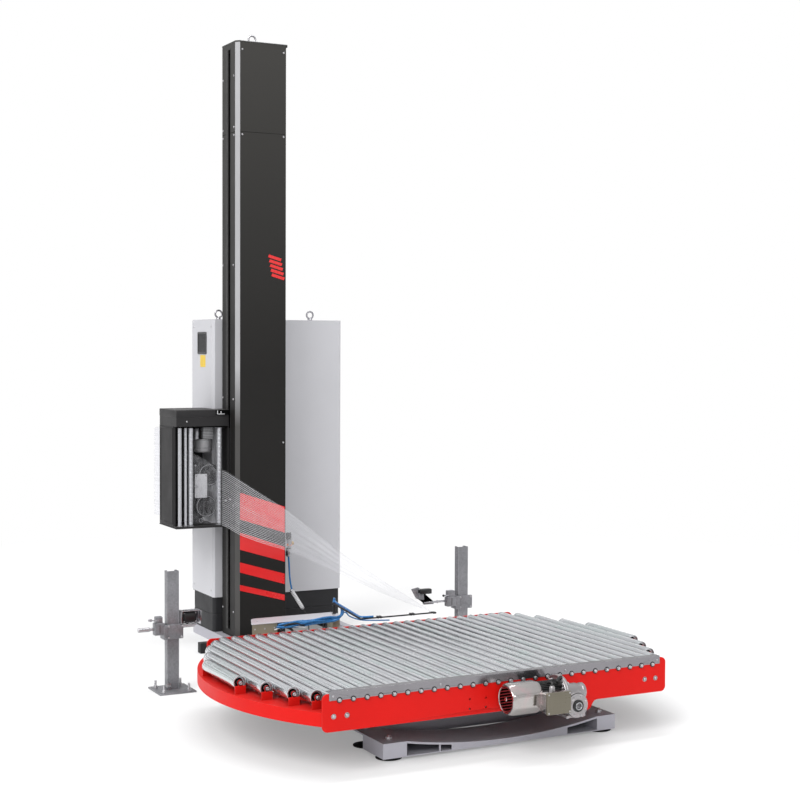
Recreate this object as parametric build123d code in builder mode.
from build123d import *
import math
import os

# Turntable pallet wrapper with a driven roller top, a lifting film carriage on a mast, a control
# cabinet, a film clamp unit and two sensor posts.
# Millimetres. Origin: centre of the turntable on the floor. +Z up, +X along the rollers' pitch
# (right), +Y towards the mast (rear).

os.makedirs("parts", exist_ok=True)

# ---------------------------------------------------------------- driving dimensions
# roller top
ROLLER_R = 29.5
ROLLER_WALL = 3.0
ROLLER_PITCH = 62.5
ROLLER_Z = 312.5
ROLLERS = 26
ROLLER_HALF = 648.0
AXLE_R = 6.0
AXLE_HOLE_R = AXLE_R + 0.6
BORE_R = 7.6
END_HALF = (584.0, 485.0, 342.0, 192.0)  # half lengths of the end rollers, going outwards
END_PITCH = 61.0
HEX_AF = 19.0
HEX_T = 9.0

# table frame
RING_R = 1078.0
RING_IN = 935.0
RING_Z0 = 206.0
RING_Z1 = 264.0
RING_WALL = 8.0
RING_LIP = 90.0
TUBE_W = 50.0
TUBE_H = 52.0
TUBE_WALL = 4.0
TUBE_Y = (-560.0, -220.0, 220.0, 560.0)
TUBE_X = (-620.0, -300.0, 300.0, 620.0)
HUB_Z = 184.0
TAB_GAP = 4.0
TAB_T = 6.0

# side plates and guard rails
PLATE_IN = 661.0
PLATE_T = 8.0
PLATE_OUT = PLATE_IN + PLATE_T
PLATE_X = 856.0
PLATE_Z0 = 184.0
PLATE_Z1 = 340.0
PLATE_CORNER_R = 24.0
REAR_TOP = 334.0
RAIL_T = 3.0
RAIL_OUT = PLATE_OUT + RAIL_T
RAIL_TOP = 349.0
RAIL_FLANGE = 34.0
RAIL_X0 = -827.0
RAIL_X1 = 822.0
BOLT_XZ = ((-806.0, 247.0), (-746.0, 247.0), (741.0, 248.0), (800.0, 248.0))
BOLT_HEAD = 6.0

# base
BEAM_Z0 = 12.0
BEAM_Z1 = 78.0
BEAM_Y = 571.0
LEFT_BEAM = (-530.0, -418.0)
RIGHT_BEAM = (552.0, 650.0)
BASE_MID_X = (LEFT_BEAM[1] + RIGHT_BEAM[0]) / 2
BASE_GAP = RIGHT_BEAM[0] - LEFT_BEAM[1]
FOLD_T = 6.0
PLATFORM_TOP = BEAM_Z1 + 6
POCKET_Y = 330.0
POCKET_DEPTH = BEAM_Y - POCKET_Y
LINK_X = (-159.0, 61.0)
LINK_TOP = BEAM_Z0 + 60
FOOT_R = 57.0
FOOT_XY = [(sum(beam) / 2, y) for beam in (LEFT_BEAM, RIGHT_BEAM) for y in (-510, -290, 290, 510)]
STUD_HOLE_R = 9.0
BEARING_R = 200.0
BEARING_BORE_R = 150.0

# table drive
WHEEL_X, WHEEL_Y = -276.8, 276.8
WHEEL_Z = 148.0
WHEEL_T = 28.0
DRIVE_TOP = 140.0

# mast
MAST_X0, MAST_X1 = -211.0, 93.0
MAST_Y0, MAST_Y1 = 1930.0, 2157.0
MAST_TOP = 3469.0
MAST_Z0 = 58.0
MAST_CAP = 8.0
MAST_CHAMFER = 21.0
MAST_LIP = 8.0
SLOT_Y0, SLOT_Y1 = 2030.0, 2062.0
SLOT_Z0, SLOT_Z1 = 96.0, 3431.0
BELT_X, BELT_Y, BELT_Z = -150.0, 2110.0, 1760.0
BELT_INNER = (3300.0, 60.6)  # height and width of the space inside the belt
BELT_OUTER = (3308.0, 68.0)
BELT_W = 40.0

# cabinet
CAB_X0, CAB_X1 = -262.0, 566.0
CAB_Y0, CAB_Y1 = 2178.0, 2520.0
CAB_Z0, CAB_Z1 = 262.0, 1893.0
CAB_X, CAB_Y, CAB_Z = (CAB_X0 + CAB_X1) / 2, (CAB_Y0 + CAB_Y1) / 2, (CAB_Z0 + CAB_Z1) / 2
CAB_W, CAB_D, CAB_H = CAB_X1 - CAB_X0, CAB_Y1 - CAB_Y0, CAB_Z1 - CAB_Z0
CAB_SHEET = 3.0
CAB_CHAMFER = 14.0
DOOR_GAP = 2.0
DOOR_T = 18.0
HINGE_XY = (CAB_X1, CAB_Y1 + 24)
HINGE_Z = (430.0, 1080.0, 1730.0)
KNUCKLE_R = 6.0
KNUCKLE_H = 40.0
KNUCKLE_GAP = 2.0
ESTOP_YZ = (2330.0, 1500.0)
PLINTH_Y = 2355.0
PLINTH_W, PLINTH_D = CAB_W - 12, 340.0

# film carriage
CAR_X0, CAR_X1 = -534.0, -216.0
CAR_Y0, CAR_Y1 = 2036.0, 2331.0
CAR_Z0, CAR_Z1 = 698.0, 1372.0
CAR_FLOOR = 8.0
CAR_WALL = 6.0
CAR_BOX = 1278.0  # underside of the top box
CAR_NECK_X = -272.0
CAR_NECK_Y = 2158.0
CAR_INSIDE_Z = CAR_Z0 + CAR_FLOOR
CAR_INSIDE_H = CAR_BOX - CAR_INSIDE_Z
ROLL_X, ROLL_Y = -395.0, 2465.0
ROLL_R = 123.0
ROLL_BORE_R = 38.0
ROLL_Z = (738.0, 1251.0)
ROLL_ARM_Z = 712.0
STRETCH_MOTOR_Z = (1122.0, 1200.0)

# roller gearmotor: motor axis along X, output axis along Y
GM_Y = -760.0
GM_Z = 256.0
OUT_X = 279.0
OUT_Z = 208.0
FAN_X = -48.0
BARREL_X = FAN_X + 150
MOTOR_FLANGE_X = BARREL_X + 102
MOTOR_FLANGE_R = 82.0
MOTOR_FLANGE_T = 12.0
GEARBOX_X = MOTOR_FLANGE_X + MOTOR_FLANGE_T

# film clamp unit and air line
CLAMP_TOP_Z = 296.0
CLAMP_PIVOT = (62.0, 1190.0)
CLAMP_ARM_Z = 351.5
CLAMP_ARM_T = 8.0
REG_X, REG_Y = 132.0, 1975.0
REG_Z = 560.0
REG_BODY_H = 48.0

# sensor posts: centre x, front face y
POSTS = ((-882.0, 1085.0), (893.0, 1249.0))
POST_H = 608.0
POST_W, POST_D = 62.0, 41.0
POST_WALL = 4.0
POST_BASE = 192.0
POST_BASE_T = 8.0
STUD_PITCH = 132.0

# stretched film: distance from the carriage, height
FILM_OUTLINE = (
    (6, 710), (145, 657), (311, 624), (481, 599), (683, 549),
    (879, 495), (1144, 423), (1440, 361), (1470, 361), (1470, 366),
    (1210, 467), (879, 615), (495, 824), (251, 927), (6, 1034),
)


# ---------------------------------------------------------------- helpers
def roller_x(i):
    """X of straight roller i, 0 to 25."""
    return (i - (ROLLERS - 1) / 2) * ROLLER_PITCH


END_ROLLERS = []  # x, half length
for step, half_length in enumerate(END_HALF, start=1):
    end_x = roller_x(ROLLERS - 1) + step * END_PITCH
    END_ROLLERS += [(end_x, half_length), (-end_x, half_length)]
AXLE_XZ = [(roller_x(i), ROLLER_Z) for i in range(ROLLERS)]


def tube_length(y):
    """Length of a table tube along X at that Y, ending in the ring's wall."""
    return 2 * round(math.sqrt((RING_R - 4) ** 2 - (abs(y) + TUBE_W / 2) ** 2))


def level(z):
    """A horizontal sketch plane at height z."""
    return Plane.XY.offset(z)


def along_y(x, y, z):
    """A sketch plane whose normal points along +Y, local x along +X and local y downwards."""
    return Plane(origin=(x, y, z), x_dir=(1, 0, 0), z_dir=(0, 1, 0))


def along_x(x, y, z):
    """A sketch plane whose normal points along +X, local x along +Y and local y along +Z."""
    return Plane(origin=(x, y, z), x_dir=(0, 1, 0), z_dir=(1, 0, 0))


def rectangle_at(x, y, width, depth, **options):
    """Add a rectangle centred at x, y to the current sketch."""
    with Locations((x, y)):
        Rectangle(width, depth, **options)


def circle_at(x, y, radius):
    """Add a circle centred at x, y to the current sketch."""
    with Locations((x, y)):
        Circle(radius)


def cut(depth):
    """Cut the pending sketch out of the current part."""
    extrude(amount=depth, mode=Mode.SUBTRACT)


def save(name, part):
    part.label = name
    export_step(part, f"parts/{name}.step")


# ---------------------------------------------------------------- base
def base_frame():
    """Side beams, end pockets, centre platform, link beams and the mast foot."""
    sheet_mid_z = 34.0
    sheet_t = 9.0
    floor_t = 4.0
    wall_edge_z = 74.0
    platform_d = 480.0
    left_x, right_x = LEFT_BEAM[1], RIGHT_BEAM[0]
    sheet_edge_z = BEAM_Z1 - sheet_t
    with BuildPart() as piece:
        # two long side beams
        with BuildSketch(level(BEAM_Z0)):
            for x0, x1 in (LEFT_BEAM, RIGHT_BEAM):
                rectangle_at((x0 + x1) / 2, 0, x1 - x0, 2 * BEAM_Y)
        extrude(amount=BEAM_Z1 - BEAM_Z0)
        # sagging sheet between the beams at both ends, with a flat sheet below it
        for y in (-POCKET_Y, BEAM_Y):
            with BuildSketch(Plane.XZ.offset(-y)):
                with BuildLine():
                    ThreePointArc((left_x, BEAM_Z1), (BASE_MID_X, sheet_mid_z), (right_x, BEAM_Z1))
                    Line((right_x, BEAM_Z1), (right_x, sheet_edge_z))
                    ThreePointArc(
                        (right_x, sheet_edge_z),
                        (BASE_MID_X, sheet_mid_z - sheet_t),
                        (left_x, sheet_edge_z),
                    )
                    Line((left_x, sheet_edge_z), (left_x, BEAM_Z1))
                make_face()
            extrude(amount=POCKET_DEPTH)
        with BuildSketch(level(BEAM_Z0)):
            for side in (-1, 1):
                rectangle_at(BASE_MID_X, side * (POCKET_Y + BEAM_Y) / 2, BASE_GAP, POCKET_DEPTH)
        extrude(amount=floor_t)
        # the pockets' inner walls
        for y in (-POCKET_Y, POCKET_Y + FOLD_T):
            with BuildSketch(Plane.XZ.offset(-y)):
                with BuildLine():
                    Polyline(
                        (left_x, wall_edge_z), (left_x, BEAM_Z0),
                        (right_x, BEAM_Z0), (right_x, wall_edge_z),
                    )
                    ThreePointArc((right_x, wall_edge_z), (BASE_MID_X, 30), (left_x, wall_edge_z))
                make_face()
            extrude(amount=FOLD_T)
        # closed middle of each end and the thin divider in the left pocket
        for y in (-BEAM_Y + FOLD_T, BEAM_Y):
            with BuildSketch(Plane.XZ.offset(-y)):
                with BuildLine():
                    Polyline((-200, 42), (-200, BEAM_Z0), (392, BEAM_Z0), (392, 48))
                    ThreePointArc((392, 48), (BASE_MID_X, 28), (-200, 42))
                make_face()
                rectangle_at(-258, 31, 6, 38)
            extrude(amount=FOLD_T)
        # centre platform under the slewing bearing
        with BuildSketch(level(BEAM_Z0)):
            rectangle_at(BASE_MID_X, 0, BASE_GAP, platform_d)
        extrude(amount=BEAM_Z1 - BEAM_Z0)
        with BuildSketch(level(BEAM_Z1)):
            Circle(235)
        extrude(amount=PLATFORM_TOP - BEAM_Z1)
        # link beams to the mast foot
        with BuildSketch(level(BEAM_Z0)):
            for x in LINK_X:
                rectangle_at(x, 1070, 80, 1680)
        extrude(amount=LINK_TOP - BEAM_Z0)
        # mast foot: cross beams, side bars and the plate under the mast
        with BuildSketch():
            rectangle_at(62, 1910, 1008, 40)
            for x in (-231, 541):
                rectangle_at(x, 2229.5, 50, 599)
            rectangle_at(155, 2510, 722, 40)
            rectangle_at(-50, 2054, 340, 248)
        extrude(amount=MAST_Z0)
        # the beams, the platform and the links are folded boxes, hollow inside
        with BuildSketch(level(BEAM_Z0 + FOLD_T)):
            for x0, x1 in (LEFT_BEAM, RIGHT_BEAM):
                rectangle_at((x0 + x1) / 2, 0, x1 - x0 - 10, 2 * BEAM_Y - 20)
            rectangle_at(BASE_MID_X, 0, BASE_GAP - 10, platform_d - 16)
            for x in LINK_X:
                rectangle_at(x, 1062, 70, 1632)
        cut(48)
        # the left beam is open along its middle on the outer side and below
        with BuildSketch(level(BEAM_Z0 - 1)):
            rectangle_at(LEFT_BEAM[0] + 53, 0, 108, 750)
        cut(60)
        # clearance holes for the feet's studs, and the two floor anchor holes of the mast foot
        with BuildSketch():
            with Locations(*FOOT_XY):
                Circle(STUD_HOLE_R)
            with Locations((-360, 1910), (540, 1910)):
                Circle(STUD_HOLE_R)
        cut(BEAM_Z1)
    return piece.part


def levelling_feet():
    """Round pads with studs and nuts under the side beams, and one plain pad in the middle."""
    with BuildPart() as piece:
        with BuildSketch():
            with Locations(*FOOT_XY, (0, 0)):
                Circle(FOOT_R)
        extrude(amount=BEAM_Z0)
        with BuildSketch(level(BEAM_Z0)):
            with Locations(*FOOT_XY):
                Circle(8)
        extrude(amount=BEAM_Z1 + 22 - BEAM_Z0)
        with BuildSketch(level(BEAM_Z1)):
            with Locations(*FOOT_XY):
                RegularPolygon(15, 6)
        extrude(amount=12)
        pad_tops = piece.faces().filter_by(Axis.Z).group_by(Axis.Z)[1]
        rims = pad_tops.edges().filter_by(GeomType.CIRCLE).sort_by(SortBy.RADIUS)[-9:]
        chamfer(rims, 3)
    return piece.part


def slewing_bearing():
    """Lower bearing ring with a drilled flange."""
    flange_r = 225.0
    flange_t = 14.0
    with BuildPart() as piece:
        with BuildSketch(level(PLATFORM_TOP)):
            Circle(BEARING_R)
            Circle(BEARING_BORE_R, mode=Mode.SUBTRACT)
        extrude(amount=54)
        with BuildSketch(level(PLATFORM_TOP)):
            Circle(flange_r)
            Circle(BEARING_R, mode=Mode.SUBTRACT)
        extrude(amount=flange_t)
        with BuildSketch(level(PLATFORM_TOP)):
            with PolarLocations((BEARING_R + flange_r) / 2, 12):
                Circle(6)
        cut(flange_t)
    return piece.part


def table_drive_motor():
    """Mounting plate, gear housing, motor barrel towards +Y and the wheel's shaft."""
    housing_d = 120.0
    housing_y = WHEEL_Y + 5
    barrel_y = housing_y + housing_d / 2
    barrel_z = 128.0
    with BuildPart() as piece:
        with BuildSketch(level(BEAM_Z1)):
            rectangle_at(WHEEL_X, 300, 150, 170)
        extrude(amount=PLATFORM_TOP - BEAM_Z1)
        with BuildSketch(level(PLATFORM_TOP)):
            rectangle_at(WHEEL_X, housing_y, 110, housing_d)
        extrude(amount=DRIVE_TOP - PLATFORM_TOP)
        with BuildSketch(along_y(WHEEL_X, barrel_y, barrel_z)):
            Circle(42)
        extrude(amount=240)
        with BuildSketch(along_y(WHEEL_X, barrel_y, barrel_z)):
            Rectangle(96, 88)
        extrude(amount=12)
        with BuildSketch(level(DRIVE_TOP)):
            circle_at(WHEEL_X, WHEEL_Y, 12)
        extrude(amount=WHEEL_Z + WHEEL_T - DRIVE_TOP)
        # block under the motor's barrel
        with BuildSketch(level(BEAM_Z1)):
            rectangle_at(WHEEL_X, 350, 90, 60)
        extrude(amount=20)
    return piece.part


def drive_wheel():
    with BuildPart() as piece:
        with BuildSketch(level(WHEEL_Z)):
            circle_at(WHEEL_X, WHEEL_Y, 60)
        extrude(amount=WHEEL_T)
        with BuildSketch(level(WHEEL_Z)):
            circle_at(WHEEL_X, WHEEL_Y, 13.5)
        cut(WHEEL_T)
    return piece.part


# ---------------------------------------------------------------- turntable
def table_frame():
    """Two ring arcs, a grid of tubes, the hub, the driven rim and the end rollers' tabs."""
    tab_foot = ROLLER_Z - RING_Z1 + 2  # depths below the roller axis
    tab_shoulder = 13.0
    with BuildPart() as piece:
        # ring, an inward channel in section, cut off at the side plates
        with BuildSketch(Plane.XZ):
            with BuildLine():
                Polyline(
                    (RING_R, RING_Z0),
                    (RING_R, RING_Z1),
                    (RING_IN, RING_Z1),
                    (RING_IN, RING_Z1 - RING_WALL),
                    (RING_R - RING_WALL, RING_Z1 - RING_WALL),
                    (RING_R - RING_WALL, RING_Z0 + RING_WALL),
                    (RING_R - RING_LIP, RING_Z0 + RING_WALL),
                    (RING_R - RING_LIP, RING_Z0),
                    close=True,
                )
            make_face()
        revolve(axis=Axis.Z)
        split(bisect_by=Plane.XZ.offset(PLATE_IN), keep=Keep.BOTTOM)
        split(bisect_by=Plane.XZ.offset(-PLATE_IN), keep=Keep.TOP)
        # tubes along X and along Y, hollow inside
        with BuildSketch(level(RING_Z0)):
            for y in TUBE_Y:
                rectangle_at(0, y, tube_length(y), TUBE_W)
            for x in TUBE_X:
                rectangle_at(x, 0, TUBE_W, 2 * PLATE_IN)
        extrude(amount=TUBE_H)
        with BuildSketch(level(RING_Z0 + TUBE_WALL)):
            for y in TUBE_Y:
                rectangle_at(0, y, tube_length(y) - 30, TUBE_W - 2 * TUBE_WALL)
            for x in TUBE_X:
                rectangle_at(x, 0, TUBE_W - 2 * TUBE_WALL, 2 * PLATE_IN - 12)
        cut(TUBE_H - 2 * TUBE_WALL)
        # hub plate, upper bearing ring and driven rim
        with BuildSketch(level(HUB_Z)):
            Circle(345)
        extrude(amount=24)
        with BuildSketch(level(139.5)):
            Circle(205)
            Circle(BEARING_BORE_R, mode=Mode.SUBTRACT)
        extrude(amount=45)
        with BuildSketch(level(WHEEL_Z)):
            Circle(330)
            Circle(305, mode=Mode.SUBTRACT)
        extrude(amount=37)
        # upright tabs that carry the short end rollers
        for x, half in END_ROLLERS:
            for y in (-half - TAB_GAP - TAB_T, half + TAB_GAP):
                with BuildSketch(along_y(x, y, ROLLER_Z)):
                    Circle(12.5)
                    rectangle_at(0, 8, 21, 18)
                    rectangle_at(0, (tab_foot + tab_shoulder) / 2, 49, tab_foot - tab_shoulder)
                extrude(amount=TAB_T)
        for x, half in END_ROLLERS:
            with BuildSketch(along_y(x, -half - 12, ROLLER_Z)):
                Circle(AXLE_HOLE_R)
            cut(2 * half + 24)
    return piece.part


def side_plates():
    """Long plates at the front and rear that carry the straight rollers' axles."""
    tab_z = 142.0
    with BuildPart() as piece:
        # front plate with a deeper tab behind the roller gearbox
        with BuildSketch(Plane.XZ.offset(PLATE_IN)) as front_face:
            with BuildLine():
                Polyline(
                    (-PLATE_X, PLATE_Z1), (-PLATE_X, PLATE_Z0), (225, PLATE_Z0),
                    (240, tab_z), (430, tab_z),
                )
                Spline(
                    (430, tab_z), (448, 152), (462, 174), (492, PLATE_Z0),
                    tangents=[(1, 0.1), (1, 0)],
                )
                Polyline(
                    (492, PLATE_Z0), (PLATE_X, PLATE_Z0), (PLATE_X, PLATE_Z1),
                    (-PLATE_X, PLATE_Z1),
                )
            make_face()
            for x in (-PLATE_X, PLATE_X):
                corners = front_face.vertices().filter_by_position(Axis.X, x - 1, x + 1)
                fillet(corners, PLATE_CORNER_R)
        extrude(amount=PLATE_T)
        # rear plate
        with BuildSketch(Plane.XZ.offset(-PLATE_OUT)):
            with Locations((0, (PLATE_Z0 + REAR_TOP) / 2)):
                RectangleRounded(2 * PLATE_X, REAR_TOP - PLATE_Z0, PLATE_CORNER_R)
        extrude(amount=PLATE_T)
        # axle holes through both plates
        with BuildSketch(Plane.XZ.offset(PLATE_OUT + 1)):
            with Locations(*AXLE_XZ):
                Circle(AXLE_HOLE_R)
        cut(-2 * (PLATE_OUT + 1))
        # four small holes and the gearbox output's hole in the front plate
        with BuildSketch(Plane.XZ.offset(PLATE_OUT + 1)):
            with Locations((-169, 252), (-169, 210), (-90, 250), (-90, 210)):
                Circle(5)
            circle_at(OUT_X, OUT_Z, 19)
        cut(-20)
    return piece.part


def guard_rails():
    """Thin strips outside the side plates; the front one is folded inwards over its plate."""
    middle_x = (RAIL_X0 + RAIL_X1) / 2
    length = RAIL_X1 - RAIL_X0
    with BuildPart() as piece:
        for side, top in ((-1, RAIL_TOP), (1, REAR_TOP - 1)):
            with BuildSketch(level(ROLLER_Z)):
                rectangle_at(middle_x, side * (RAIL_OUT - RAIL_T / 2), length, RAIL_T)
            extrude(amount=top - ROLLER_Z)
        with BuildSketch(level(RAIL_TOP - RAIL_T)):
            rectangle_at(middle_x, -(RAIL_OUT - RAIL_FLANGE / 2), length, RAIL_FLANGE)
        extrude(amount=RAIL_T)
        with BuildSketch(Plane.XZ.offset(700)):
            with Locations(*AXLE_XZ):
                Circle(AXLE_HOLE_R)
        cut(-1400)
    return piece.part


def roller_axles():
    """Axles of all rollers, with a hexagon at each end."""
    spans = [(x, RAIL_OUT) for x, _ in AXLE_XZ]
    spans += [(x, half + TAB_GAP + TAB_T) for x, half in END_ROLLERS]
    with BuildPart() as piece:
        for x, reach in spans:
            with BuildSketch(along_y(x, -reach, ROLLER_Z)):
                Circle(AXLE_R)
            extrude(amount=2 * reach)
            for y in (-reach - HEX_T, reach):
                with BuildSketch(along_y(x, y, ROLLER_Z)):
                    RegularPolygon(HEX_AF / 2, 6, major_radius=False)
                extrude(amount=HEX_T)
    return piece.part


def straight_roller(x):
    """Steel tube with a bearing plug 6 mm inside each mouth."""
    plug_inset = 6.0
    plug_end = 20.0
    with BuildPart() as piece:
        with BuildSketch(along_y(x, -ROLLER_HALF, ROLLER_Z)):
            Circle(ROLLER_R)
            Circle(BORE_R, mode=Mode.SUBTRACT)
        extrude(amount=2 * ROLLER_HALF)
        with BuildSketch(along_y(x, -ROLLER_HALF + plug_end, ROLLER_Z)):
            Circle(ROLLER_R - ROLLER_WALL)
            Circle(BORE_R - 0.1, mode=Mode.SUBTRACT)
        cut(2 * (ROLLER_HALF - plug_end))
        for y in (-ROLLER_HALF, ROLLER_HALF - plug_inset):
            with BuildSketch(along_y(x, y, ROLLER_Z)):
                Circle(ROLLER_R - ROLLER_WALL)
            cut(plug_inset)
    return piece.part


def end_rollers():
    """The short rollers beyond both ends of the straight ones, plugged 12 mm inside the mouth."""
    plug_inset = 12.0
    plug_end = 22.0
    with BuildPart() as piece:
        for x, half in END_ROLLERS:
            with BuildSketch(along_y(x, -half, ROLLER_Z)):
                Circle(ROLLER_R)
                Circle(BORE_R, mode=Mode.SUBTRACT)
            extrude(amount=2 * half)
            with BuildSketch(along_y(x, -half + plug_end, ROLLER_Z)):
                Circle(ROLLER_R - ROLLER_WALL)
            cut(2 * (half - plug_end))
            for y in (-half, half - plug_inset):
                with BuildSketch(along_y(x, y, ROLLER_Z)):
                    Circle(ROLLER_R - ROLLER_WALL)
                cut(plug_inset)
    return piece.part


def frame_bolts():
    """Round-head bolts on the outside of the side plates."""
    with BuildPart() as piece:
        for side in (-1, 1):
            y = -PLATE_OUT - BOLT_HEAD if side < 0 else PLATE_OUT
            for x, z in BOLT_XZ:
                with BuildSketch(along_y(x, y, z)):
                    Circle(10)
                extrude(amount=BOLT_HEAD)
            heads = piece.faces().filter_by(Axis.Y).sort_by(Axis.Y)
            outer = heads[:4] if side < 0 else heads[-4:]
            fillet(outer.edges(), 2.5)
    return piece.part


# ---------------------------------------------------------------- roller gearmotor, at the front
def roller_motor():
    with BuildPart() as piece:
        # eight-sided fan cover
        with BuildSketch(along_x(FAN_X, GM_Y, GM_Z)):
            RegularPolygon(67, 8, major_radius=False, rotation=22.5)
        extrude(amount=BARREL_X - FAN_X)
        # motor barrel
        with BuildSketch(along_x(BARREL_X, GM_Y, GM_Z)):
            Circle(62)
        extrude(amount=MOTOR_FLANGE_X - BARREL_X)
        # end flange
        with BuildSketch(along_x(MOTOR_FLANGE_X, GM_Y, GM_Z)):
            Circle(MOTOR_FLANGE_R)
        extrude(amount=MOTOR_FLANGE_T)
        # terminal box on the side away from the table
        with BuildSketch(along_y(144, -880, 246)):
            RectangleRounded(118, 92, 8)
        extrude(amount=64)
        # cable gland
        with BuildSketch(level(290)):
            circle_at(126, -850, 12)
        extrude(amount=30)
    return piece.part


def roller_gearbox():
    housing_half = 54.0
    boss_half = 62.0
    with BuildPart() as piece:
        # input flange and worm housing along the motor axis
        with BuildSketch(along_x(GEARBOX_X, GM_Y, GM_Z)):
            Circle(MOTOR_FLANGE_R)
        extrude(amount=MOTOR_FLANGE_T)
        with BuildSketch(along_x(GEARBOX_X + MOTOR_FLANGE_T, GM_Y, GM_Z)):
            Circle(38)
        extrude(amount=112)
        # main housing round the output bore, and a boss that reaches the front plate
        with BuildSketch(along_y(OUT_X, GM_Y - housing_half, OUT_Z)):
            Circle(56)
        extrude(amount=2 * housing_half)
        with BuildSketch(along_y(OUT_X, GM_Y - boss_half, OUT_Z)):
            Circle(44)
        extrude(amount=-GM_Y + boss_half - PLATE_OUT)
        # foot
        with BuildSketch(level(156)):
            rectangle_at(OUT_X, GM_Y, 96, 96)
        extrude(amount=14)
        # hollow output shaft's bore
        with BuildSketch(along_y(OUT_X, -840, OUT_Z)):
            Circle(12.5)
        cut(176)
    return piece.part


# ---------------------------------------------------------------- mast
def mast_outline(inset, right_inset, chamfer_shift):
    """Mast section with its front left corner cut off; negative insets enlarge it."""
    x0, x1 = MAST_X0 + inset, MAST_X1 - right_inset
    y0, y1 = MAST_Y0 + inset, MAST_Y1 - inset
    corner = MAST_CHAMFER + chamfer_shift
    return [(MAST_X0 + corner, y0), (x1, y0), (x1, y1), (x0, y1), (x0, MAST_Y0 + corner)]


def mast_column():
    spacer_h = 60.0
    with BuildPart() as piece:
        with BuildSketch(level(MAST_Z0)):
            with BuildLine():
                Polyline(*mast_outline(0, 0, 0), close=True)
            make_face()
        extrude(amount=MAST_TOP - MAST_CAP - MAST_Z0)
        with BuildSketch(level(MAST_Z0 + 8)):
            with BuildLine():
                Polyline(*mast_outline(4, 4, 2), close=True)
            make_face()
        cut(MAST_TOP - 16 - MAST_Z0)
        # cap with a small lip, wider on the right
        with BuildSketch(level(MAST_TOP - MAST_CAP)):
            with BuildLine():
                Polyline(*mast_outline(-1, -MAST_LIP, -1), close=True)
            make_face()
        extrude(amount=MAST_CAP)
        # carriage slot in the left face
        slot_y, slot_z = (SLOT_Y0 + SLOT_Y1) / 2, (SLOT_Z0 + SLOT_Z1) / 2
        with BuildSketch(along_x(MAST_X0 - 1, slot_y, slot_z)):
            Rectangle(SLOT_Y1 - SLOT_Y0, SLOT_Z1 - SLOT_Z0)
        cut(8)
        # spacers that tie the cabinet to the mast
        for z in (420, 1700):
            with BuildSketch(level(z)):
                rectangle_at(
                    (MAST_X0 + MAST_X1) / 2, (MAST_Y1 + CAB_Y0) / 2, 180, CAB_Y0 - MAST_Y1
                )
            extrude(amount=spacer_h)
    return piece.part


def lift_belt():
    """Lifting belt round two pulleys inside the mast."""
    pulley_reach = (BELT_INNER[0] - BELT_INNER[1]) / 2
    with BuildPart() as piece:
        with BuildSketch(along_x(BELT_X, BELT_Y, BELT_Z)):
            SlotOverall(*BELT_OUTER, rotation=90)
            SlotOverall(*BELT_INNER, rotation=90, mode=Mode.SUBTRACT)
        extrude(amount=BELT_W)
        for z in (BELT_Z - pulley_reach, BELT_Z + pulley_reach):
            with BuildSketch(along_x(BELT_X, BELT_Y, z)):
                Circle(29.9)
            extrude(amount=BELT_W)
            # shaft across the mast
            with BuildSketch(along_x(MAST_X0 + 4, BELT_Y, z)):
                Circle(8)
            extrude(amount=MAST_X1 - MAST_X0 - 8)
    return piece.part


def lifting_eyes():
    """One ring on the mast and two on the cabinet."""
    with BuildPart() as piece:
        for x, y, z in ((-72, 2044, MAST_TOP), (-180, 2300, CAB_Z1), (410, 2300, CAB_Z1)):
            with BuildSketch(level(z)):
                circle_at(x, y, 15)
            extrude(amount=9)
            with Locations(Location((x, y, z + 33), (90, 0, 0))):
                Torus(21, 5.5)
    return piece.part


# ---------------------------------------------------------------- cabinet
def cabinet_shell():
    corner = CAB_SHEET + 12.5
    inner_x0, inner_x1 = CAB_X0 + CAB_SHEET, CAB_X1 - CAB_SHEET
    with BuildPart() as piece:
        with BuildSketch(level(CAB_Z0)):
            rectangle_at(CAB_X, CAB_Y, CAB_W, CAB_D)
        extrude(amount=CAB_H)
        chamfer(piece.edges().filter_by(Axis.Z).group_by(Axis.Y)[0], CAB_CHAMFER)
        # thin sheet, open at the rear, where the door closes it
        with BuildSketch(level(CAB_Z0 + CAB_SHEET)):
            with BuildLine():
                Polyline(
                    (CAB_X0 + corner, CAB_Y0 + CAB_SHEET), (CAB_X1 - corner, CAB_Y0 + CAB_SHEET),
                    (inner_x1, CAB_Y0 + corner), (inner_x1, CAB_Y1 + 1),
                    (inner_x0, CAB_Y1 + 1), (inner_x0, CAB_Y0 + corner),
                    close=True,
                )
            make_face()
        cut(CAB_H - 2 * CAB_SHEET)
        # emergency stop boss on the right side, hinge knuckles at the rear right edge
        with BuildSketch(along_x(CAB_X1, *ESTOP_YZ)):
            Circle(17)
        extrude(amount=12)
        for z in HINGE_Z:
            with BuildSketch(level(z - KNUCKLE_H / 2)):
                circle_at(*HINGE_XY, KNUCKLE_R)
                rectangle_at(CAB_X1 + 1.5, CAB_Y1 - 2, 3, 48)
            extrude(amount=KNUCKLE_H)
        with BuildSketch(along_x(CAB_X1 - 20, *ESTOP_YZ)):
            Circle(9)
        cut(40)
    return piece.part


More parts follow.
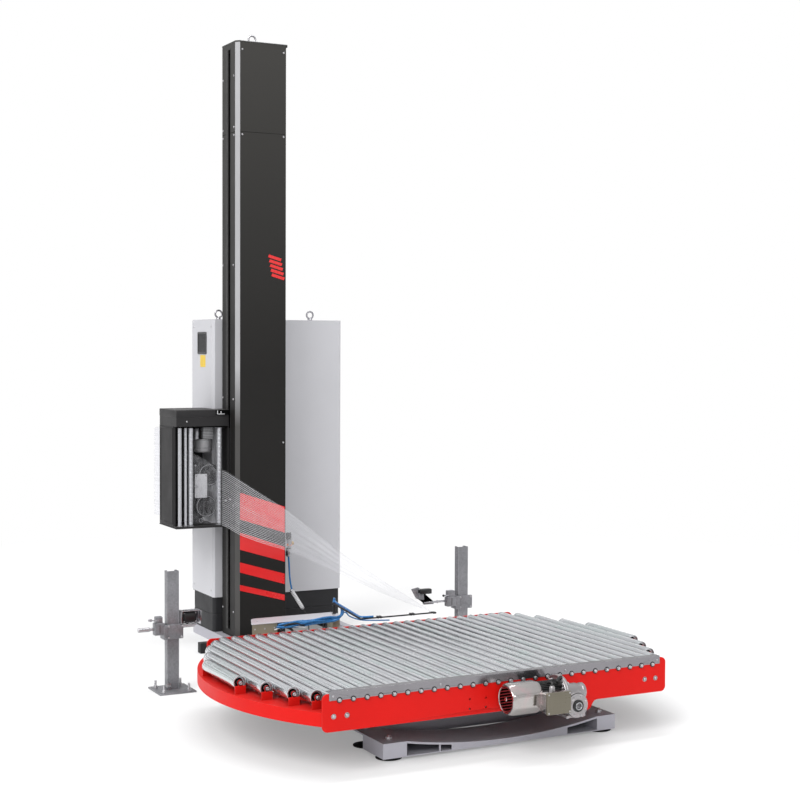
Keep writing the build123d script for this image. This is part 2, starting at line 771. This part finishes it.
def cabinet_door():
    """Rear door, hollow towards the cabinet, with hinge knuckles and a handle."""
    inner_y = CAB_Y1 + DOOR_GAP
    outer_y = inner_y + DOOR_T
    clearance_h = KNUCKLE_H + 2 * KNUCKLE_GAP
    with BuildPart() as piece:
        with BuildSketch(level(CAB_Z0 + 6)):
            rectangle_at(CAB_X, inner_y + DOOR_T / 2, CAB_W - 8, DOOR_T)
        extrude(amount=CAB_H - 12)
        with BuildSketch(along_y(CAB_X, inner_y, CAB_Z)):
            Rectangle(CAB_W - 48, CAB_H - 52)
        cut(DOOR_T - 3)
        # knuckles below and above each of the cabinet's own
        for z in HINGE_Z:
            for z0 in (z - clearance_h / 2 - KNUCKLE_H, z + clearance_h / 2):
                with BuildSketch(level(z0)):
                    circle_at(*HINGE_XY, KNUCKLE_R)
                    rectangle_at(CAB_X1 - 6, outer_y + 1, 12, 3)
                extrude(amount=KNUCKLE_H)
        # clearance for the cabinet's own knuckles
        for z in HINGE_Z:
            with BuildSketch(level(z - clearance_h / 2)):
                circle_at(*HINGE_XY, KNUCKLE_R + 1.5)
            cut(clearance_h)
        # swing handle
        with BuildSketch(along_y(-200, outer_y, 1080)):
            RectangleRounded(34, 190, 12)
        extrude(amount=16)
    return piece.part


def cabinet_plinth():
    """Open rounded frame under the cabinet, with a seam groove round it."""
    wall = 6.0
    corner_r = 22.0
    seam_depth = 3.0
    with BuildPart() as piece:
        with BuildSketch(level(MAST_Z0)):
            with Locations((CAB_X, PLINTH_Y)):
                RectangleRounded(PLINTH_W, PLINTH_D, corner_r)
        extrude(amount=CAB_Z0 - MAST_Z0)
        with BuildSketch(level(MAST_Z0)):
            with Locations((CAB_X, PLINTH_Y)):
                RectangleRounded(PLINTH_W - 2 * wall, PLINTH_D - 2 * wall, corner_r - wall)
        cut(CAB_Z0 - MAST_Z0)
        # the seam between the two height bands
        with BuildSketch(level(158)):
            with Locations((CAB_X, PLINTH_Y)):
                RectangleRounded(PLINTH_W, PLINTH_D, corner_r)
                RectangleRounded(
                    PLINTH_W - 2 * seam_depth, PLINTH_D - 2 * seam_depth, corner_r - seam_depth,
                    mode=Mode.SUBTRACT,
                )
        cut(4)
    return piece.part


def control_screen():
    """Bezel with recessed glass on the cabinet's left side, and a plain label plate below it."""
    bezel_w, bezel_h = 150.0, 131.0
    border = 12.0
    bezel_t = 3.0
    bezel_plane = along_x(CAB_X0 - bezel_t, 2355, 1753.5)
    with BuildPart() as piece:
        with BuildSketch(bezel_plane):
            RectangleRounded(bezel_w, bezel_h, 8)
        extrude(amount=bezel_t)
        with BuildSketch(bezel_plane):
            RectangleRounded(bezel_w - 2 * border, bezel_h - 2 * border, 4)
        cut(bezel_t / 2)
        with BuildSketch(along_x(CAB_X0 - 1, 2343.5, 1647.5)):
            RectangleRounded(89, 71, 4)
        extrude(amount=1)
    return piece.part


def estop_button():
    with BuildPart() as piece:
        with BuildSketch(along_x(CAB_X1 + 4, *ESTOP_YZ)):
            Circle(7)
        extrude(amount=22)
        with BuildSketch(along_x(CAB_X1 + 24, *ESTOP_YZ)):
            Circle(20)
        extrude(amount=14)
        fillet(piece.faces().sort_by(Axis.X)[-1].edges(), 5)
    return piece.part


# ---------------------------------------------------------------- film carriage
def carriage_outline(inset):
    """Plan of the carriage, stepped where it passes the cabinet."""
    x0, x1, neck_x = CAR_X0 + inset, CAR_X1 - inset, CAR_NECK_X - inset
    y0, y1, neck_y = CAR_Y0 + inset, CAR_Y1 - inset, CAR_NECK_Y - inset
    return [(x0, y0), (x1, y0), (x1, neck_y), (neck_x, neck_y), (neck_x, y1), (x0, y1)]


def carriage_frame():
    inner_y = CAR_Y1 - CAR_WALL
    with BuildPart() as piece:
        # floor plate
        with BuildSketch(level(CAR_Z0)):
            with BuildLine():
                Polyline(*carriage_outline(0), close=True)
            make_face()
        extrude(amount=CAR_FLOOR)
        # right cheek beside the mast, back wall, and the arm through the mast's slot
        with BuildSketch(level(CAR_INSIDE_Z)):
            rectangle_at(CAR_X1 - CAR_WALL / 2, 2096.5, CAR_WALL, 119)
            rectangle_at(
                (CAR_X0 + CAR_NECK_X) / 2, CAR_Y1 - CAR_WALL / 2, CAR_NECK_X - CAR_X0, CAR_WALL
            )
        extrude(amount=CAR_INSIDE_H)
        with BuildSketch(along_x(CAR_X1, (SLOT_Y0 + SLOT_Y1) / 2, 1040)):
            Rectangle(14, 440)
        extrude(amount=52)
        # fixed guide bars at the front left
        with BuildSketch(level(CAR_INSIDE_Z)):
            circle_at(-507, 2055, 10)
            circle_at(-471, 2061, 8)
        extrude(amount=CAR_INSIDE_H)
        # arm and spindle for the film roll behind the back wall
        with BuildSketch(level(ROLL_ARM_Z)):
            rectangle_at(ROLL_X, (inner_y + ROLL_Y) / 2, 90, ROLL_Y - inner_y)
            circle_at(ROLL_X, ROLL_Y, 60)
        extrude(amount=14)
        with BuildSketch(level(ROLL_ARM_Z)):
            circle_at(ROLL_X, ROLL_Y, 34)
        extrude(amount=560)
    return piece.part


def carriage_casing():
    """Left cover with its front return."""
    back_y = CAR_Y1 - CAR_WALL
    with BuildPart() as piece:
        with BuildSketch(level(CAR_INSIDE_Z)):
            with BuildLine():
                Polyline(
                    (CAR_X0, back_y), (CAR_X0, 2093), (CAR_X0 + 10, 2083),
                    (CAR_X0 + 13, 2086), (CAR_X0 + 4, 2095), (CAR_X0 + 4, back_y),
                    close=True,
                )
            make_face()
        extrude(amount=CAR_INSIDE_H)
    return piece.part


def carriage_cover():
    """Hollow top box over the drives."""
    floor_t = 6.0
    wall = 3.0
    with BuildPart() as piece:
        with BuildSketch(level(CAR_BOX)):
            with BuildLine():
                Polyline(*carriage_outline(0), close=True)
            make_face()
        extrude(amount=CAR_Z1 - CAR_BOX)
        with BuildSketch(level(CAR_BOX + floor_t)):
            with BuildLine():
                Polyline(*carriage_outline(wall), close=True)
            make_face()
        cut(CAR_Z1 - CAR_BOX - floor_t - wall)
        # cable opening in the box's floor
        with BuildSketch(level(CAR_BOX)):
            rectangle_at(-407, 2261, 120, 50)
        cut(8)
    return piece.part


def stretch_motor():
    """Motor barrel, with a block and a round shaft up to the top box."""
    bottom, top = STRETCH_MOTOR_Z
    with BuildPart() as piece:
        with BuildSketch(level(bottom)):
            circle_at(-333, 2151, 53)
        extrude(amount=top - bottom)
        with BuildSketch(level(top)):
            rectangle_at(-313, 2141, 62, 54)
            circle_at(-373, 2145, 14)
        extrude(amount=CAR_BOX - top)
    return piece.part


def stretch_roller(x, y, radius):
    with BuildPart() as piece:
        with BuildSketch(level(CAR_Z0 + 10)):
            circle_at(x, y, radius)
        extrude(amount=CAR_BOX - CAR_Z0 - 12)
        chamfer(piece.edges().filter_by(GeomType.CIRCLE), 1.5)
    return piece.part


def film_roll():
    with BuildPart() as piece:
        with BuildSketch(level(ROLL_Z[0])):
            with Locations((ROLL_X, ROLL_Y)):
                Circle(ROLL_R)
                Circle(ROLL_BORE_R, mode=Mode.SUBTRACT)
        extrude(amount=ROLL_Z[1] - ROLL_Z[0])
    return piece.part


def film_web():
    """Stretched film from the carriage's front roller to the clamp, narrowing as it goes."""
    run_x, run_y = 676, -1312
    film_plane = Plane(origin=(-265, 2031, 0), x_dir=(run_x, run_y, 0), z_dir=(run_y, -run_x, 0))
    with BuildPart() as piece:
        with BuildSketch(film_plane):
            with BuildLine():
                Polyline(*FILM_OUTLINE, close=True)
            make_face()
        extrude(amount=1.5)
    return piece.part


# ---------------------------------------------------------------- film clamp unit and air line
def film_clamp_base():
    """Hollow box, a second short support on the link beam, and a rounded top plate."""
    # x, y, corner radius
    plate_corners = ((-454, 1098, 14), (84, 1098, 50), (84, 1248, 28), (-396, 1248, 40))
    with BuildPart() as piece:
        with BuildSketch():
            with BuildLine():
                Polyline((-446, 1106), (-305, 1106), (-305, 1240), (-392, 1240), close=True)
            make_face()
        extrude(amount=CLAMP_TOP_Z)
        with BuildSketch():
            with BuildLine():
                Polyline((-440, 1109), (-308, 1109), (-308, 1237), (-390, 1237), close=True)
            make_face()
        cut(CLAMP_TOP_Z - 4)
        with BuildSketch(level(LINK_TOP)):
            rectangle_at(56, 1186, 44, 70)
        extrude(amount=CLAMP_TOP_Z - LINK_TOP)
        with BuildSketch(level(CLAMP_TOP_Z)) as top_plate:
            with BuildLine():
                Polyline(*[(x, y) for x, y, _ in plate_corners], close=True)
            make_face()
            for x, y, radius in plate_corners:
                corner = [
                    vertex for vertex in top_plate.vertices()
                    if abs(vertex.X - x) < 1 and abs(vertex.Y - y) < 1
                ]
                fillet(corner, radius)
        extrude(amount=4)
    return piece.part


def clamp_arm():
    pivot_z = 302.0
    with BuildPart() as piece:
        with BuildSketch(level(pivot_z)):
            circle_at(*CLAMP_PIVOT, 14)
        extrude(amount=57)
        # cranked bar over the table's edge
        with BuildSketch(level(CLAMP_ARM_Z)):
            with BuildLine():
                Polyline(
                    (54, 1190), (-20, 716), (-14, 711), (418, 711),
                    (418, 719), (-11, 719), (70, 1190),
                    close=True,
                )
            make_face()
        extrude(amount=CLAMP_ARM_T)
        # gripper pads
        with BuildSketch(level(CLAMP_ARM_Z)):
            for x in (94, 284):
                rectangle_at(x, 717, 26, 20)
            rectangle_at(413, 715, 18, 26)
        extrude(amount=CLAMP_ARM_T)
    return piece.part


def air_line():
    bowl_h = 54.0
    mount_w = 27.0
    inlet_z = 584.0
    with BuildPart() as piece:
        # regulator: mounting block and body, knob above, bowl below
        with BuildSketch(level(REG_Z)):
            rectangle_at(MAST_X1 + mount_w / 2, REG_Y, mount_w, 34)
            circle_at(REG_X, REG_Y, 19)
        extrude(amount=REG_BODY_H)
        with BuildSketch(level(REG_Z + REG_BODY_H)):
            circle_at(REG_X, REG_Y, 15)
        extrude(amount=40)
        with BuildSketch(level(REG_Z - bowl_h)):
            circle_at(REG_X, REG_Y, 16)
        extrude(amount=bowl_h)
        # air inlet on the right side
        with BuildSketch(along_x(REG_X + 10, REG_Y, inlet_z)):
            Circle(10)
        extrude(amount=20)
        with BuildSketch(along_x(REG_X + 12, REG_Y, inlet_z)):
            Circle(6)
        cut(20)
        # hose dropping from the bowl
        with BuildLine():
            drop = Spline(
                (REG_X, REG_Y, 508), (REG_X - 2, REG_Y, 300), (190, 1960, 215), (215, 1935, 130),
                tangents=[(0, 0, -1), (0, 0, -1)],
            )
        with BuildSketch(Plane(origin=drop @ 0, z_dir=drop % 0)):
            Circle(6)
        sweep(path=drop)
        # pair of hoses under the front of the clamp unit's top plate
        with BuildSketch(along_x(-280, 1114, 285)):
            Circle(8)
            circle_at(17, -4, 8)
        extrude(amount=330)
    return piece.part


# ---------------------------------------------------------------- sensor posts
def sensor_posts():
    with BuildPart() as piece:
        for x, front_y in POSTS:
            base_y = front_y + 15
            with BuildSketch():
                rectangle_at(x, base_y, POST_BASE, POST_BASE)
            extrude(amount=POST_BASE_T)
            # open channel with its web at the front
            with BuildSketch(level(POST_BASE_T)):
                channel_y = front_y + POST_D / 2
                rectangle_at(x, channel_y, POST_W, POST_D)
                rectangle_at(
                    x, channel_y + POST_WALL, POST_W - 2 * POST_WALL, POST_D, mode=Mode.SUBTRACT
                )
            extrude(amount=POST_H - POST_BASE_T)
            # anchor studs and nuts
            with BuildSketch(level(POST_BASE_T)):
                with Locations((x, base_y)):
                    with GridLocations(STUD_PITCH, STUD_PITCH, 2, 2):
                        Circle(6)
            extrude(amount=36)
            with BuildSketch(level(POST_BASE_T)):
                with Locations((x, base_y)):
                    with GridLocations(STUD_PITCH, STUD_PITCH, 2, 2):
                        RegularPolygon(9.5, 6, major_radius=False)
            extrude(amount=11)
    return piece.part


def sensor_heads():
    left_y, right_y = (front_y for _, front_y in POSTS)
    plate_w, plate_h, plate_t = 86.0, 74.0, 10.0
    with BuildPart() as piece:
        # left head: clamp plate and two side blocks
        with BuildSketch(along_y(-874, left_y - plate_t, 302)):
            Rectangle(plate_w, plate_h)
        extrude(amount=plate_t)
        with BuildSketch(level(266)):
            rectangle_at(-927, left_y + 10, 20, 60)
        extrude(amount=73)
        with BuildSketch(level(291)):
            rectangle_at(-959, left_y - 2, 46, 44)
        extrude(amount=93)
        # rod and small bar to the left
        with BuildSketch(along_x(-1056, left_y - 2, 318)):
            Circle(8)
        extrude(amount=76)
        with BuildSketch(along_x(-1004, left_y - 2, 366)):
            Rectangle(16, 14)
        extrude(amount=24)
        # cross rod and the photocell's bracket, open at the front
        with BuildSketch(along_x(-833, left_y - 14, 330)):
            Circle(7)
        extrude(amount=68)
        with BuildSketch(level(334)):
            rectangle_at(-797, left_y - 10, 104, 50)
        extrude(amount=72)
        with BuildSketch(level(340)):
            rectangle_at(-797, left_y - 13, 92, 52)
        cut(60)
        # right head: clamp plate and two side blocks
        with BuildSketch(along_y(905, right_y - plate_t, 295)):
            Rectangle(plate_w, plate_h)
        extrude(amount=plate_t)
        with BuildSketch(level(258)):
            rectangle_at(851, right_y + 10, 22, 60)
        extrude(amount=74)
        with BuildSketch(level(277)):
            rectangle_at(812, right_y - 2, 58, 44)
        extrude(amount=90)
        # rod to the left, angled plate and the block in front of it
        with BuildSketch(along_x(640, right_y - 2, 306)):
            Circle(6)
        extrude(amount=150)
        with BuildSketch(level(300)):
            rectangle_at(600, right_y - 2, 90, 6)
            rectangle_at(642, right_y - 12, 6, 26)
        extrude(amount=92)
        with BuildSketch(level(350)):
            rectangle_at(632, right_y - 22, 72, 36)
        extrude(amount=38)
    return piece.part


# ---------------------------------------------------------------- build and export
for make_piece in (
    base_frame, levelling_feet, slewing_bearing, table_drive_motor, drive_wheel,
    table_frame, side_plates, guard_rails, roller_axles, end_rollers, frame_bolts,
    roller_motor, roller_gearbox,
    mast_column, lift_belt, lifting_eyes,
    cabinet_shell, cabinet_door, cabinet_plinth, control_screen, estop_button,
    carriage_frame, carriage_casing, carriage_cover, stretch_motor, film_roll, film_web,
    film_clamp_base, clamp_arm, air_line,
    sensor_posts, sensor_heads,
):
    save(make_piece.__name__, make_piece())
for i in range(ROLLERS):
    save(f"roller_{i + 1:02d}", straight_roller(roller_x(i)))
save("stretch_roller_1", stretch_roller(-441.0, 2055.0, radius=13.0))
save("stretch_roller_2", stretch_roller(-268.0, 2057.0, radius=16.0))
